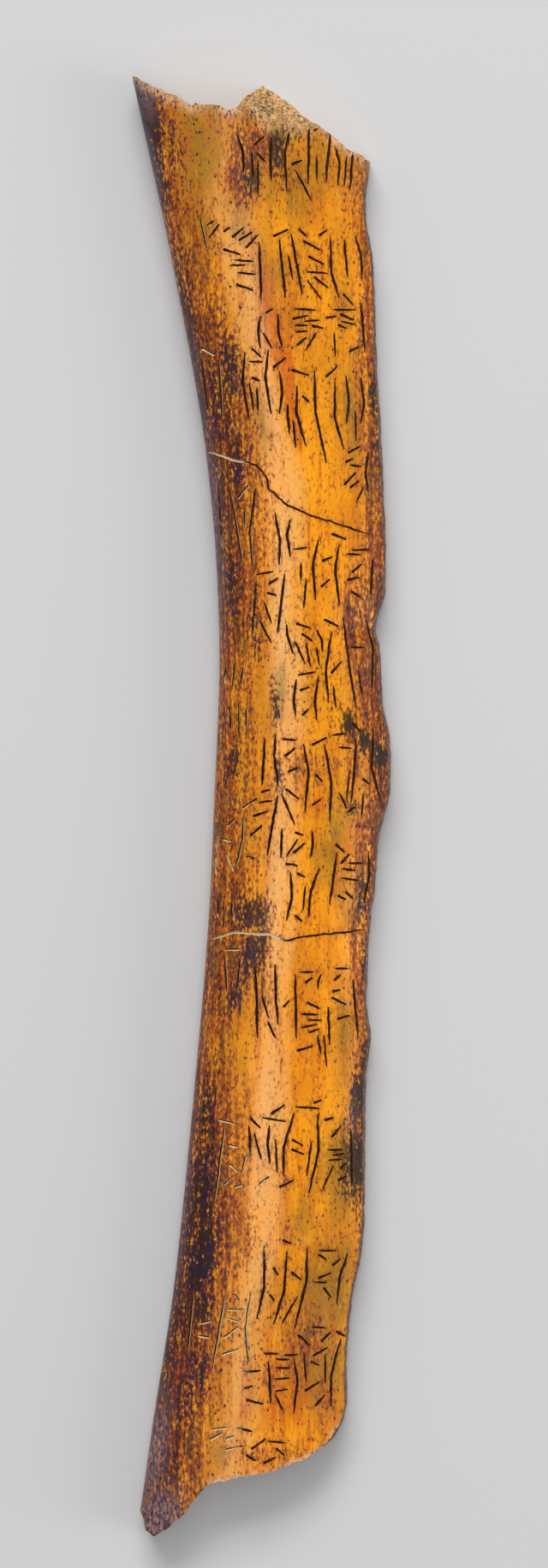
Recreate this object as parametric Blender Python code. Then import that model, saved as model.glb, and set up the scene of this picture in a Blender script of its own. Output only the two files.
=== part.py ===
# Oracle bone: a long strip split from the edge of an ox shoulder blade.
# It lies on its ground back with the inscribed face up. +Y runs towards the upper break,
# +X towards the thin broken side, and the origin is under the middle of the strip, on the table.

import math
import random

import bmesh
import bpy
import numpy as np
from mathutils import Matrix, Vector

# Overall sizes
LENGTH = 0.240
MIDDLE_WIDTH = 0.027
UPPER_THICKNESS = 0.0125
LOWER_THICKNESS = 0.0100
BROKEN_SIDE_THICKNESS = 0.0062

# The natural rounded border, on the left of the inscribed face
NOSE_HEIGHT_SHARE = 0.42
CREST_ACROSS = 0.42
BORDER_ROUNDNESS = 2.2
FACE_FALL_POWER = 1.7
BACK_ROUND_ACROSS = 0.27

# The back is ground flat. It arches a little between its two ends, and lifts at the broken side.
ARCH_RISE = 0.0007
ARCH_REACH = 0.30
BROKEN_SIDE_LIFT = 0.0010
LIFT_FROM_ACROSS = 0.80

# The broken side leans out from the inscribed face to the back, and swells between them
SIDE_BREAK_LEAN = 0.0005
SIDE_BREAK_SWELL = 0.0003

# Knife-cut strokes of the inscription, and the cracks
STROKE_WIDTH = 0.00055
STROKE_GAP = 0.00035
STROKE_END_SHARE = 0.35
CRACK_WIDTH = 0.00045
UPRIGHT_SPACING = 0.0040
DASH_SPACING = 0.0030
DASH_LENGTH = 0.0021
DASH_TRIES = 6
SIGN_SEED = 7

# Hollows chiselled in one row along the back, each with a round one drilled beside it
HOLLOW_COUNT = 9
HOLLOW_FIRST_ALONG = 0.125
HOLLOW_LAST_ALONG = 0.885
HOLLOW_ACROSS = 0.62
CHISELLED_LENGTH = 0.0125
CHISELLED_WIDTH = 0.0056
CHISELLED_DEPTH = 0.0052
DRILLED_DIAMETER = 0.0078
DRILLED_DEPTH = 0.0034
DRILLED_OFFSET = 0.0044

# Fineness of the mesh. The columns lie closer together on the rounded border and at the
# corners of the breaks.
ROWS = 43
COLUMNS = (
    0.0, 0.012, 0.04, 0.09, 0.15, 0.22, 0.29, 0.33, 0.39, 0.46, 0.54, 0.61, 0.71, 0.80,
    0.89, 0.96, 1.0,
)
BREAK_STEPS = 2
HOLLOW_SEGMENTS = 12
SMOOTH_ANGLE = math.radians(28)

# Outlines. Along is a share of LENGTH from the lower tip, and across a share of MIDDLE_WIDTH
# from the strip's middle line. Each pair is (along, across).
BORDER_EDGE = (
    (0.000, -0.765), (0.018, -0.737), (0.085, -0.651), (0.173, -0.530), (0.304, -0.410),
    (0.419, -0.322), (0.503, -0.286), (0.619, -0.254), (0.742, -0.334), (0.870, -0.535),
    (1.000, -0.783),
)
BROKEN_SIDE = (
    (0.000, 0.520), (0.079, 0.507), (0.096, 0.526), (0.121, 0.524), (0.166, 0.558),
    (0.197, 0.615), (0.233, 0.633), (0.315, 0.642), (0.346, 0.669), (0.367, 0.646),
    (0.419, 0.665), (0.449, 0.699), (0.482, 0.722), (0.508, 0.781), (0.550, 0.783),
    (0.572, 0.742), (0.608, 0.729), (0.624, 0.700), (0.650, 0.758), (0.728, 0.745),
    (0.810, 0.705), (0.873, 0.684), (0.911, 0.638), (0.944, 0.668), (1.000, 0.690),
)

# The breaks at the two ends. Each triple is (share of the strip's own width, along,
# how far the inscribed face stops short of the back, as a share of LENGTH).
UPPER_BREAK = (
    (0.00, 1.0000, 0.0000), (0.04, 0.9978, 0.0045), (0.15, 0.9920, 0.0060),
    (0.22, 0.9840, 0.0055), (0.29, 0.9840, 0.0050), (0.39, 0.9780, 0.0025),
    (0.46, 0.9900, 0.0130), (0.54, 0.9975, 0.0260), (0.61, 0.9880, 0.0235),
    (0.71, 0.9760, 0.0130), (0.80, 0.9656, 0.0030), (0.89, 0.9545, 0.0025),
    (1.00, 0.9440, 0.0020),
)
LOWER_BREAK = (
    (0.000, 0.0180, 0.0000), (0.040, 0.0045, 0.0040), (0.090, 0.0000, 0.0050),
    (0.150, 0.0065, 0.0045), (0.220, 0.0155, 0.0040), (0.290, 0.0315, 0.0045),
    (0.330, 0.0390, 0.0020), (0.460, 0.0420, 0.0018), (0.610, 0.0455, 0.0018),
    (0.800, 0.0540, 0.0022), (0.890, 0.0604, 0.0022), (0.960, 0.0685, 0.0022),
    (1.000, 0.0797, 0.0020),
)
LOWER_ROW_ALONG = 0.04
UPPER_ROW_ALONG = 0.975
BREAK_REACH = 0.15

# The cracks that cross the face, as (along, share of the strip's own width)
CRACKS = (
    (
        (0.7430, 0.020), (0.7370, 0.140), (0.7330, 0.280), (0.7245, 0.325), (0.7170, 0.335),
        (0.7058, 0.430), (0.6990, 0.556), (0.6920, 0.750), (0.6865, 0.895),
    ),
    (
        (0.4110, 0.035), (0.4160, 0.168), (0.4150, 0.300), (0.4140, 0.405), (0.4100, 0.484),
        (0.4127, 0.563), (0.4150, 0.770), (0.4174, 0.970),
    ),
)

# Where the inscription has its signs, in four columns: along, share of the strip's own width,
# height as a share of LENGTH, and width as a share of MIDDLE_WIDTH.
BORDER_COLUMN = (
    (0.786, 0.090, 0.053, 0.09), (0.694, 0.085, 0.062, 0.09), (0.694, 0.190, 0.060, 0.09),
    (0.590, 0.090, 0.013, 0.10), (0.562, 0.120, 0.018, 0.10), (0.538, 0.095, 0.013, 0.05),
    (0.475, 0.095, 0.039, 0.14), (0.431, 0.100, 0.018, 0.09), (0.386, 0.170, 0.036, 0.08),
)
INNER_COLUMN = (
    (0.940, 0.477, 0.035, 0.18), (0.892, 0.237, 0.010, 0.15), (0.865, 0.370, 0.055, 0.14),
    (0.824, 0.440, 0.027, 0.12), (0.787, 0.340, 0.049, 0.14), (0.784, 0.450, 0.037, 0.06),
    (0.681, 0.400, 0.040, 0.08), (0.637, 0.302, 0.046, 0.16), (0.533, 0.309, 0.036, 0.08),
    (0.485, 0.276, 0.055, 0.15), (0.369, 0.446, 0.050, 0.24), (0.274, 0.400, 0.030, 0.12),
    (0.260, 0.266, 0.060, 0.18), (0.146, 0.283, 0.051, 0.36), (0.070, 0.388, 0.019, 0.20),
)
MIDDLE_COLUMN = (
    (0.943, 0.715, 0.050, 0.24), (0.869, 0.576, 0.048, 0.09), (0.867, 0.726, 0.051, 0.18),
    (0.824, 0.690, 0.029, 0.28), (0.766, 0.661, 0.064, 0.23), (0.762, 0.523, 0.027, 0.09),
    (0.659, 0.587, 0.052, 0.27), (0.613, 0.533, 0.025, 0.18), (0.573, 0.534, 0.038, 0.13),
    (0.520, 0.505, 0.057, 0.28), (0.477, 0.503, 0.021, 0.18), (0.441, 0.551, 0.046, 0.15),
    (0.382, 0.638, 0.016, 0.13), (0.350, 0.662, 0.037, 0.19), (0.268, 0.563, 0.071, 0.30),
    (0.177, 0.585, 0.061, 0.25), (0.109, 0.584, 0.043, 0.30), (0.064, 0.607, 0.020, 0.20),
)
EDGE_COLUMN = (
    (0.935, 0.880, 0.034, 0.09), (0.875, 0.893, 0.032, 0.08), (0.828, 0.876, 0.045, 0.12),
    (0.775, 0.852, 0.038, 0.09), (0.729, 0.857, 0.040, 0.11), (0.656, 0.814, 0.040, 0.20),
    (0.599, 0.798, 0.061, 0.24), (0.523, 0.784, 0.070, 0.28), (0.453, 0.834, 0.043, 0.20),
    (0.365, 0.826, 0.053, 0.20), (0.265, 0.824, 0.049, 0.20), (0.180, 0.817, 0.040, 0.22),
    (0.118, 0.840, 0.061, 0.22),
)

BONE_COLOUR = (0.62, 0.30, 0.07, 1.0)
BONE_ROUGHNESS = 0.38


def smooth_through(points, at):
    """The value at `at` of a smooth curve through (position, value) points."""
    last = len(points) - 2
    i = max(k for k in range(last + 1) if k == 0 or points[k][0] <= at)
    (x1, y1), (x2, y2) = points[i], points[i + 1]
    before, after = points[max(i - 1, 0)], points[min(i + 2, last + 1)]
    span = x2 - x1
    rise_1 = span * (y2 - before[1]) / (x2 - before[0])
    rise_2 = span * (after[1] - y1) / (after[0] - x1)
    s = (at - x1) / span
    start = (2 * s**3 - 3 * s**2 + 1) * y1 + (s**3 - 2 * s**2 + s) * rise_1
    return start + (3 * s**2 - 2 * s**3) * y2 + (s**3 - s**2) * rise_2


def straight_through(points, at, column):
    """The value at `at` on straight lines through the points, read from one column."""
    for first, second in zip(points, points[1:]):
        if at <= second[0]:
            s = (at - first[0]) / (second[0] - first[0])
            return first[column] + s * (second[column] - first[column])
    return points[-1][column]


def ease(s):
    """A smooth step from 0 to 1."""
    s = min(1.0, max(0.0, s))
    return s * s * (3 - 2 * s)


def edges_at(along):
    """The x of the rounded border and of the broken side where the strip is cut across."""
    border = smooth_through(BORDER_EDGE, along) * MIDDLE_WIDTH
    broken = smooth_through(BROKEN_SIDE, along) * MIDDLE_WIDTH
    return border, broken


def plan_place(along, share):
    """Plan position at a share of LENGTH and a share of the strip's own width."""
    border, broken = edges_at(along)
    return border + share * (broken - border), (along - 0.5) * LENGTH


def heights(along, share):
    """Heights of the back and of the inscribed face at a place on the strip."""
    thickness = LOWER_THICKNESS + along * (UPPER_THICKNESS - LOWER_THICKNESS)
    nose = NOSE_HEIGHT_SHARE * thickness
    if share < CREST_ACROSS:
        out = min(1.0, (CREST_ACROSS - share) / CREST_ACROSS)
        rise = (1 - out**BORDER_ROUNDNESS) ** (1 / BORDER_ROUNDNESS)
        face = nose + (thickness - nose) * rise
    else:
        out = (share - CREST_ACROSS) / (1 - CREST_ACROSS)
        face = thickness - (thickness - BROKEN_SIDE_THICKNESS) * out**FACE_FALL_POWER
    back = ARCH_RISE * max(0.0, 1 - ((along - 0.5) / ARCH_REACH) ** 2)
    if share < BACK_ROUND_ACROSS:
        out = min(1.0, (BACK_ROUND_ACROSS - share) / BACK_ROUND_ACROSS)
        back += (nose - back) * (1 - math.sqrt(1 - out**2))
    elif share > LIFT_FROM_ACROSS:
        back += BROKEN_SIDE_LIFT * ((share - LIFT_FROM_ACROSS) / (1 - LIFT_FROM_ACROSS)) ** 2
    return back, face


def on_face(x, y):
    """The point of the inscribed face over a plan position, with the lean of the broken side."""
    along = y / LENGTH + 0.5
    border, broken = edges_at(along)
    share = (x - border) / (broken - border)
    share = (x + SIDE_BREAK_LEAN * ease(share) - border) / (broken - border)
    return Vector((x, y, heights(along, share)[1]))


def row_along(row, share, inscribed):
    """Where a row of the mesh lies along the strip. The rows near the ends follow the breaks."""
    low = straight_through(LOWER_BREAK, share, 1)
    high = straight_through(UPPER_BREAK, share, 1)
    if inscribed:
        low += straight_through(LOWER_BREAK, share, 2)
        high -= straight_through(UPPER_BREAK, share, 2)
    even = LOWER_ROW_ALONG + row / ROWS * (UPPER_ROW_ALONG - LOWER_ROW_ALONG)
    to_low = ease(1 - (even - LOWER_ROW_ALONG) / BREAK_REACH)
    to_high = ease(1 - (UPPER_ROW_ALONG - even) / BREAK_REACH)
    return even + to_low * (low - LOWER_ROW_ALONG) + to_high * (high - UPPER_ROW_ALONG)


def skin_point(row, share, inscribed):
    """A point of the inscribed face or of the back. The face stops short of a leaning broken side."""
    along = row_along(row, share, inscribed)
    back, face = heights(along, share)
    x, y = plan_place(along, share)
    if inscribed:
        return Vector((x - SIDE_BREAK_LEAN * ease(share), y, face))
    return Vector((x, y, back))


def cross_section(row):
    """Points across one row: for each column, the steps down from the inscribed face to the back."""
    section = []
    for share in COLUMNS:
        face, back = skin_point(row, share, True), skin_point(row, share, False)
        if share == COLUMNS[0]:
            section.append([back] * (BREAK_STEPS + 1))
            continue
        steps = [face.lerp(back, k / BREAK_STEPS) for k in range(BREAK_STEPS + 1)]
        if share == COLUMNS[-1]:
            for k in range(1, BREAK_STEPS):
                steps[k].x += SIDE_BREAK_SWELL
        section.append(steps)
    return section


def new_object(name, mesh, collection):
    found = bpy.data.objects.new(name, mesh)
    collection.objects.link(found)
    return found


def bone_body(collection):
    """The strip without its hollows and carving: a loft of sections closed by the two end breaks."""
    bm = bmesh.new()
    sections = [cross_section(row) for row in range(ROWS + 1)]
    last = len(COLUMNS) - 1

    def ring(section):
        across_face = [column[0] for column in section]
        down_side = section[last][1:-1]
        across_back = [column[-1] for column in section[:0:-1]]
        return across_face + down_side + across_back

    rings = [[bm.verts.new(point) for point in ring(section)] for section in sections]
    count = len(rings[0])
    for lower, upper in zip(rings, rings[1:]):
        for i in range(count):
            following = (i + 1) % count
            bm.faces.new((lower[i], lower[following], upper[following], upper[i]))

    def corner(ring_vertices, column, step, inner):
        """The vertex of an end break at a column and a step down."""
        if column == 0 or step == 0:
            return ring_vertices[column]
        if column == last:
            return ring_vertices[last + step]
        if step == BREAK_STEPS:
            return ring_vertices[count - column]
        return inner[column, step]

    for section, vertices, upward in ((sections[0], rings[0], False), (sections[-1], rings[-1], True)):
        inner = {
            (column, step): bm.verts.new(section[column][step])
            for column in range(1, last)
            for step in range(1, BREAK_STEPS)
        }
        for column in range(last):
            for step in range(BREAK_STEPS):
                corners = [
                    corner(vertices, column, step, inner),
                    corner(vertices, column + 1, step, inner),
                    corner(vertices, column + 1, step + 1, inner),
                    corner(vertices, column, step + 1, inner),
                ]
                face = list(dict.fromkeys(corners))
                bm.faces.new(face if upward else face[::-1])
    bmesh.ops.recalc_face_normals(bm, faces=bm.faces)
    mesh = bpy.data.meshes.new("bone")
    bm.to_mesh(mesh)
    bm.free()
    return new_object("bone", mesh, collection)


def sampled(stroke):
    """Points close together along a stroke, for measuring how near another one comes."""
    found = []
    for (x1, y1), (x2, y2) in zip(stroke, stroke[1:]):
        steps = max(1, math.ceil(math.hypot(x2 - x1, y2 - y1) / STROKE_GAP))
        found += [(x1 + (x2 - x1) * k / steps, y1 + (y2 - y1) * k / steps) for k in range(steps + 1)]
    return np.array(found)


def stands_clear(stroke, others, gap):
    """True if no point of the stroke comes nearer than the gap to a stroke in the list."""
    for other in others:
        apart = stroke[:, None, :] - other[None, :, :]
        if (apart**2).sum(axis=2).min() < gap**2:
            return False
    return True


def upright(draw, x, height):
    """A long stroke down a sign, leaning a little and sometimes bent, about the sign's own middle."""
    top = height * draw.uniform(0.32, 0.5)
    bottom = -height * draw.uniform(0.25, 0.5)
    lean = height * draw.uniform(-0.05, 0.05)
    bend = height * draw.choice((0.0, 0.0, -0.05, 0.05))
    turn = (top + bottom) / 2 + height * draw.uniform(-0.1, 0.1)
    return [(x - lean, bottom), (x + bend, turn), (x + lean, top)]


def dash(draw, height, width):
    """A short slanted stroke somewhere in a sign."""
    x, y = width * draw.uniform(-0.6, 0.6), height * draw.uniform(-0.35, 0.5)
    length = DASH_LENGTH * draw.uniform(0.6, 1.3)
    angle = draw.choice((-1, 1)) * math.radians(draw.uniform(10, 50))
    dx, dy = length / 2 * math.cos(angle), length / 2 * math.sin(angle)
    return [(x - dx, y - dy), (x + dx, y + dy)]


def sign_tries(draw, height, width):
    """For each stroke of one made-up sign, the shapes to try until one has room."""
    uprights = 1 + round(width / UPRIGHT_SPACING) if height > width else 0
    for i in range(uprights):
        yield [upright(draw, width * (i / (uprights - 1) - 0.5) if uprights > 1 else 0.0, height)]
    for _ in range(2 + round(height / DASH_SPACING)):
        yield [dash(draw, height, width) for _ in range(DASH_TRIES)]


def crack_lines():
    return [[plan_place(*point) for point in crack] for crack in CRACKS]


def inscription_strokes():
    """Plan lines of every stroke. None comes near another, so that they never join into a letter."""
    draw = random.Random(SIGN_SEED)
    gap = STROKE_WIDTH + STROKE_GAP
    taken = [sampled(line) for line in crack_lines()]
    strokes = []
    for along, share, height, width in BORDER_COLUMN + INNER_COLUMN + MIDDLE_COLUMN + EDGE_COLUMN:
        middle_x, middle_y = plan_place(along, share)
        lean = (plan_place(along + 0.01, share)[0] - middle_x) / (0.01 * LENGTH)
        for shapes in sign_tries(draw, height * LENGTH, width * MIDDLE_WIDTH):
            for shape in shapes:
                stroke = [(middle_x + x + lean * y, middle_y + y) for x, y in shape]
                points = sampled(stroke)
                if stands_clear(points, taken, gap):
                    taken.append(points)
                    strokes.append(stroke)
                    break
    return strokes


def carving_cutter(collection):
    """Every stroke and crack as a thin diamond-shaped bar, half of it sunk in the inscribed face."""
    curve = bpy.data.curves.new("carving", "CURVE")
    curve.dimensions = "3D"
    curve.bevel_depth = STROKE_WIDTH / 2
    curve.bevel_resolution = 0
    curve.use_fill_caps = True
    lines = [(line, CRACK_WIDTH / STROKE_WIDTH) for line in crack_lines()]
    lines += [(line, 1.0) for line in inscription_strokes()]
    for line, share in lines:
        spline = curve.splines.new("POLY")
        spline.points.add(len(line) - 1)
        for point, (x, y) in zip(spline.points, line):
            point.co = (*on_face(x, y), 1.0)
            point.radius = share
        spline.points[-1].radius = share * STROKE_END_SHARE
        if len(line) > 2:
            spline.points[0].radius = share * STROKE_END_SHARE
    return mesh_cutter(new_object("carving_curve", curve, collection), "carving", collection)


def mesh_cutter(source, name, collection):
    """A mesh made from a curve, its caps welded to its sides. The curve is removed."""
    bpy.context.view_layer.update()
    graph = bpy.context.evaluated_depsgraph_get()
    mesh = bpy.data.meshes.new_from_object(source.evaluated_get(graph))
    made = new_object(name, mesh, collection)
    made.matrix_world = source.matrix_world
    bpy.data.objects.remove(source)
    bm = bmesh.new()
    bm.from_mesh(mesh)
    bmesh.ops.remove_doubles(bm, verts=bm.verts, dist=1e-6)
    bmesh.ops.recalc_face_normals(bm, faces=bm.faces)
    bm.to_mesh(mesh)
    bm.free()
    mesh.shade_flat()
    return made


def hollows_cutter(name, collection, length, width, depth, offset):
    """A row of rounded hollows in the back, as the lower part of one mesh of long balls."""
    bm = bmesh.new()
    for i in range(HOLLOW_COUNT):
        step = i / (HOLLOW_COUNT - 1)
        along = HOLLOW_FIRST_ALONG + step * (HOLLOW_LAST_ALONG - HOLLOW_FIRST_ALONG)
        x, y = plan_place(along, HOLLOW_ACROSS)
        back, _ = heights(along, HOLLOW_ACROSS)
        turn = math.atan2(plan_place(along + 0.01, HOLLOW_ACROSS)[0] - x, 0.01 * LENGTH)
        shape = Matrix.Diagonal((width, length, 2 * depth, 1.0))
        placed = Matrix.Translation((x - offset, y, back)) @ Matrix.Rotation(-turn, 4, "Z") @ shape
        bmesh.ops.create_uvsphere(
            bm, u_segments=HOLLOW_SEGMENTS, v_segments=HOLLOW_SEGMENTS // 2, radius=0.5, matrix=placed
        )
    mesh = bpy.data.meshes.new(name)
    bm.to_mesh(mesh)
    bm.free()
    return new_object(name, mesh, collection)


def cut(body, cutter):
    cutter.hide_render = True
    cutter.display_type = "WIRE"
    modifier = body.modifiers.new(cutter.name, "BOOLEAN")
    modifier.operation = "DIFFERENCE"
    modifier.object = cutter


def bone_material():
    material = bpy.data.materials.new("patinated bone")
    material.use_nodes = True
    shader = material.node_tree.nodes["Principled BSDF"]
    shader.inputs["Base Color"].default_value = BONE_COLOUR
    shader.inputs["Roughness"].default_value = BONE_ROUGHNESS
    shader.inputs["Metallic"].default_value = 0.0
    return material


def main():
    for found in list(bpy.data.objects):
        bpy.data.objects.remove(found)
    parts = bpy.data.collections.new("Oracle bone")
    cutters = bpy.data.collections.new("Cutters")
    bpy.context.scene.collection.children.link(parts)
    bpy.context.scene.collection.children.link(cutters)

    bone = bone_body(parts)
    cut(bone, hollows_cutter(
        "chiselled", cutters, CHISELLED_LENGTH, CHISELLED_WIDTH, CHISELLED_DEPTH, 0.0
    ))
    cut(bone, hollows_cutter(
        "drilled", cutters, DRILLED_DIAMETER, DRILLED_DIAMETER, DRILLED_DEPTH, DRILLED_OFFSET
    ))
    cut(bone, carving_cutter(cutters))
    bone.data.shade_smooth()
    bone.data.set_sharp_from_angle(angle=SMOOTH_ANGLE)
    bone.data.materials.append(bone_material())


main()
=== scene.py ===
"""Looks of an oracle bone: a long strip of stained ox shoulder blade, lying on its ground back."""

import math
import random

import bmesh
import bpy
import numpy as np
from mathutils import Matrix, Vector, noise
from mathutils.bvhtree import BVHTree
from mathutils.kdtree import KDTree


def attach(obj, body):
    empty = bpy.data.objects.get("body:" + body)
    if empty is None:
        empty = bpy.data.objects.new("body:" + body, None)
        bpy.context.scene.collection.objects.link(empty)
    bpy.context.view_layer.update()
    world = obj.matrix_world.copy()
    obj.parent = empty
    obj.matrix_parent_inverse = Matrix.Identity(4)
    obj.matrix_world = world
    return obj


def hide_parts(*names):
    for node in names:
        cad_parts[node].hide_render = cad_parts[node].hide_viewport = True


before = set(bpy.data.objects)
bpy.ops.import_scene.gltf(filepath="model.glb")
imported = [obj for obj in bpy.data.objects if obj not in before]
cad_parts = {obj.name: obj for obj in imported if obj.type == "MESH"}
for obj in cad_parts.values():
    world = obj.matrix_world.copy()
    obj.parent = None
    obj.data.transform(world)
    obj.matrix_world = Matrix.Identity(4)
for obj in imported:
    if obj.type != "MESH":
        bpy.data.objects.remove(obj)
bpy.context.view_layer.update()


# The strip of bone.
# It was split lengthwise from the thick edge of an ox shoulder blade. The left border is the
# blade's own rounded edge, the face was scraped and polished, and the back was ground flat.

LENGTH = 0.240
MIDDLE_WIDTH = 0.027
UPPER_THICKNESS = 0.0125
LOWER_THICKNESS = 0.0100
BROKEN_SIDE_THICKNESS = 0.0062
NOSE_HEIGHT_SHARE = 0.42
CREST_ACROSS = 0.42
BORDER_ROUNDNESS = 2.2
FACE_FALL_POWER = 1.7
BACK_ROUND_ACROSS = 0.27
ARCH_RISE = 0.0007
ARCH_REACH = 0.30
BROKEN_SIDE_LIFT = 0.0010
LIFT_FROM_ACROSS = 0.80

# (along, across): shares of LENGTH from the lower tip, and of MIDDLE_WIDTH from the middle line
BORDER_EDGE = (
    (0.000, -0.765), (0.018, -0.737), (0.085, -0.651), (0.173, -0.530), (0.304, -0.410),
    (0.419, -0.322), (0.503, -0.286), (0.619, -0.254), (0.742, -0.334), (0.870, -0.535),
    (1.000, -0.783),
)
BROKEN_SIDE = (
    (0.000, 0.520), (0.079, 0.507), (0.096, 0.526), (0.121, 0.524), (0.166, 0.558),
    (0.197, 0.615), (0.233, 0.633), (0.315, 0.642), (0.346, 0.669), (0.367, 0.646),
    (0.419, 0.665), (0.449, 0.699), (0.482, 0.722), (0.508, 0.781), (0.550, 0.783),
    (0.572, 0.742), (0.608, 0.729), (0.624, 0.700), (0.650, 0.758), (0.728, 0.745),
    (0.810, 0.705), (0.873, 0.684), (0.911, 0.638), (0.944, 0.668), (1.000, 0.690),
)

# (share of the strip's own width, along, how far the face stops short as a share of LENGTH)
UPPER_BREAK = (
    (0.00, 1.0000, 0.0000), (0.04, 0.9978, 0.0045), (0.15, 0.9920, 0.0060),
    (0.22, 0.9840, 0.0055), (0.29, 0.9840, 0.0050), (0.39, 0.9780, 0.0025),
    (0.46, 0.9900, 0.0130), (0.54, 0.9975, 0.0260), (0.61, 0.9880, 0.0235),
    (0.71, 0.9760, 0.0130), (0.80, 0.9656, 0.0030), (0.89, 0.9545, 0.0025),
    (1.00, 0.9440, 0.0020),
)
LOWER_BREAK = (
    (0.000, 0.0180, 0.0000), (0.040, 0.0045, 0.0040), (0.090, 0.0000, 0.0050),
    (0.150, 0.0065, 0.0045), (0.220, 0.0155, 0.0040), (0.290, 0.0315, 0.0045),
    (0.330, 0.0390, 0.0020), (0.460, 0.0420, 0.0018), (0.610, 0.0455, 0.0018),
    (0.800, 0.0540, 0.0022), (0.890, 0.0604, 0.0022), (0.960, 0.0685, 0.0022),
    (1.000, 0.0797, 0.0020),
)
LOWER_ROW_ALONG = 0.04
UPPER_ROW_ALONG = 0.975
BREAK_REACH = 0.15

ROWS = 380
COLUMNS_TO_CREST = 36
COLUMNS_FROM_CREST = 40

# The splintered rims bite in by up to a jag: a share of LENGTH at the ends, metres at the side.
# A bite's grain is its size along the rim, as a share of the strip's own width or of LENGTH
END_JAG = 0.0030
LOWER_JAG_GRAIN = 0.060
UPPER_JAG_GRAIN = 0.055
FACE_JAG_GRAIN = 0.05
SIDE_JAG = 0.00022
SIDE_JAG_GRAIN = 0.012
SIDE_BREAK_LEAN = 0.0005

# The scraped face waves a little, and is wrinkled lengthwise near the natural border. A grain is
# the size of the bumps in metres across the strip, along it and down through it
WAVE_DEPTH = 0.00010
WAVE_GRAIN = (0.007, 0.030, 0.007)
WRINKLE_DEPTH = 0.00012
WRINKLE_GRAIN = (0.0011, 0.016, 0.0011)
DENT_DEPTH = 0.00022
DENT_GRAIN = (0.0021, 0.0034, 0.0021)

# The relief fades out over these shares of the width, at both edges and on the rounding of the back
RELIEF_FADE = 0.03
BACK_RELIEF_FADE = 0.1


def smooth_through(points, at):
    """Values at an array of positions on a smooth curve through (position, value) points."""
    place, value = np.array(points).T
    i = np.clip(np.searchsorted(place, at, side="right") - 1, 0, len(place) - 2)
    before, after = np.maximum(i - 1, 0), np.minimum(i + 2, len(place) - 1)
    span = place[i + 1] - place[i]
    rise_1 = span * (value[i + 1] - value[before]) / (place[i + 1] - place[before])
    rise_2 = span * (value[after] - value[i]) / (place[after] - place[i])
    s = (at - place[i]) / span
    start = (2 * s**3 - 3 * s**2 + 1) * value[i] + (s**3 - 2 * s**2 + s) * rise_1
    return start + (3 * s**2 - 2 * s**3) * value[i + 1] + (s**3 - s**2) * rise_2


def straight_through(points, at, column):
    """Values at positions on the straight lines through a table's first column and another one."""
    table = np.array(points)
    return np.interp(at, table[:, 0], table[:, column])


def ease(s):
    """A smooth step from 0 to 1."""
    s = np.clip(s, 0.0, 1.0)
    return s * s * (3 - 2 * s)


def ripple(points, grain, offset=0.0):
    """Smooth noise from -1 to 1 at points, its bumps as long as the grain along each axis."""
    places = np.reshape(points, (-1, 3)) / np.array(grain) + offset
    return np.array([noise.noise(place) for place in places]).reshape(np.shape(points)[:-1])


def bites(at, size, offset):
    """How deep a broken rim is bitten, from 0 to 1, at positions along it."""
    line = np.stack([at / size, np.full_like(at, offset), np.zeros_like(at)], axis=-1)
    coarse = ripple(line, 1.0)
    fine = ripple(line, 0.36, 5.0)
    return np.clip(0.5 + 0.50 * coarse + 0.55 * fine, 0.0, 1.0)


def edges_at(along):
    """The x of the rounded border and of the broken side where the strip is cut across."""
    border = smooth_through(BORDER_EDGE, along) * MIDDLE_WIDTH
    broken = smooth_through(BROKEN_SIDE, along) * MIDDLE_WIDTH
    return border, broken


def plan_place(along, share):
    """Plan position at a share of LENGTH and a share of the strip's own width."""
    border, broken = edges_at(along)
    return border + share * (broken - border), (along - 0.5) * LENGTH


def heights(along, share):
    """Heights of the back and of the inscribed face."""
    thickness = LOWER_THICKNESS + along * (UPPER_THICKNESS - LOWER_THICKNESS)
    nose = NOSE_HEIGHT_SHARE * thickness
    to_border = np.clip((CREST_ACROSS - share) / CREST_ACROSS, 0.0, 1.0)
    rise = (1 - to_border**BORDER_ROUNDNESS) ** (1 / BORDER_ROUNDNESS)
    to_side = np.clip((share - CREST_ACROSS) / (1 - CREST_ACROSS), 0.0, 1.0)
    fall = (thickness - BROKEN_SIDE_THICKNESS) * to_side**FACE_FALL_POWER
    face = nose + (thickness - nose) * rise - fall
    back = ARCH_RISE * np.clip(1 - ((along - 0.5) / ARCH_REACH) ** 2, 0.0, None)
    round_off = np.clip((BACK_ROUND_ACROSS - share) / BACK_ROUND_ACROSS, 0.0, 1.0)
    back = back + (nose - back) * (1 - np.sqrt(1 - round_off**2))
    lifted = np.clip((share - LIFT_FROM_ACROSS) / (1 - LIFT_FROM_ACROSS), 0.0, 1.0)
    return back + BROKEN_SIDE_LIFT * lifted**2, face


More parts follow.
